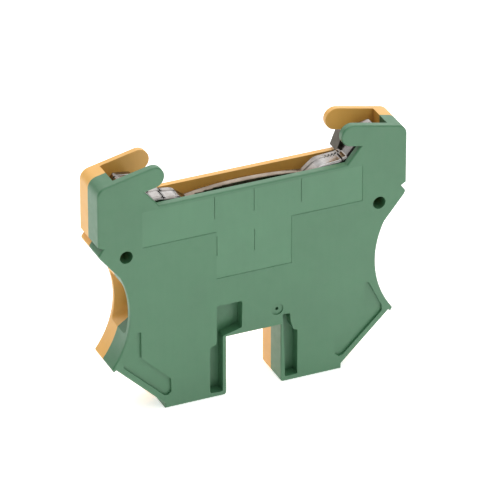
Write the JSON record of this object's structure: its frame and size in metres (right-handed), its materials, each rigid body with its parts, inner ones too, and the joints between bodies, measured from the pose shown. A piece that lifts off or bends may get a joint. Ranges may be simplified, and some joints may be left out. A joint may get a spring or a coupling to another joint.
{
  "type": "din rail terminal block",
  "caption": "Green and yellow protective-earth screw terminal for a 35 mm top-hat rail, with clamping yokes and a metal rail foot.",
  "frame": {"origin": "centre of the bounding box's bottom face, in the plane of the flat faces round the screw wells", "axes": "+X along the long side, +Y from the green half to the yellow half, +Z towards the rail"},
  "size_m": [0.056, 0.0078, 0.0465],
  "materials": {
    "green_plastic": "moulded, fine matt texture",
    "yellow_plastic": "moulded, fine matt texture",
    "tinned_copper": "tin plated copper alloy",
    "tinned_foot": "bright tin plated",
    "spring_steel": "dull plated spring steel",
    "rivet_metal": "plated",
    "zinc_steel": "zinc plated",
    "screw_steel": "zinc plated"
  },
  "bodies": {
    "housing": {"green_shell": "green_plastic", "yellow_shell": "yellow_plastic", "current_bar": "tinned_copper", "ground_post": "tinned_copper", "foot_bar": "tinned_foot", "left_claw": "tinned_foot", "right_claw": "tinned_foot", "left_jaw_plate": "spring_steel", "right_jaw_plate": "spring_steel", "foot_rivets": "rivet_metal", "jaw_rivets": "rivet_metal"},
    "left_yoke_body": {"left_yoke": "zinc_steel"},
    "right_yoke_body": {"right_yoke": "zinc_steel"},
    "left_screw_body": {"left_clamp_screw": "screw_steel"},
    "right_screw_body": {"right_clamp_screw": "screw_steel"}
  },
  "joints": [
    {"name": "left_screw_turn", "type": "hinge", "parent": "housing", "child": "left_screw_body", "pos_m": [-0.0112, 0, 0.0032], "axis": [0, 0, 1], "range_deg": [0, 2160]},
    {"name": "right_screw_turn", "type": "hinge", "parent": "housing", "child": "right_screw_body", "pos_m": [0.0112, 0, 0.0032], "axis": [0, 0, 1], "range_deg": [0, 2160]},
    {"name": "left_yoke_slide", "type": "slide", "parent": "housing", "child": "left_yoke_body", "axis": [0, 0, -1], "range_m": [0, 0.0036]},
    {"name": "right_yoke_slide", "type": "slide", "parent": "housing", "child": "right_yoke_body", "axis": [0, 0, -1], "range_m": [0, 0.0036]}
  ],
  "couplings": [
    {"joint": "left_screw_turn", "follows": "left_yoke_slide", "rad_per_m": 10472},
    {"joint": "right_screw_turn", "follows": "right_yoke_slide", "rad_per_m": 10472}
  ]
}
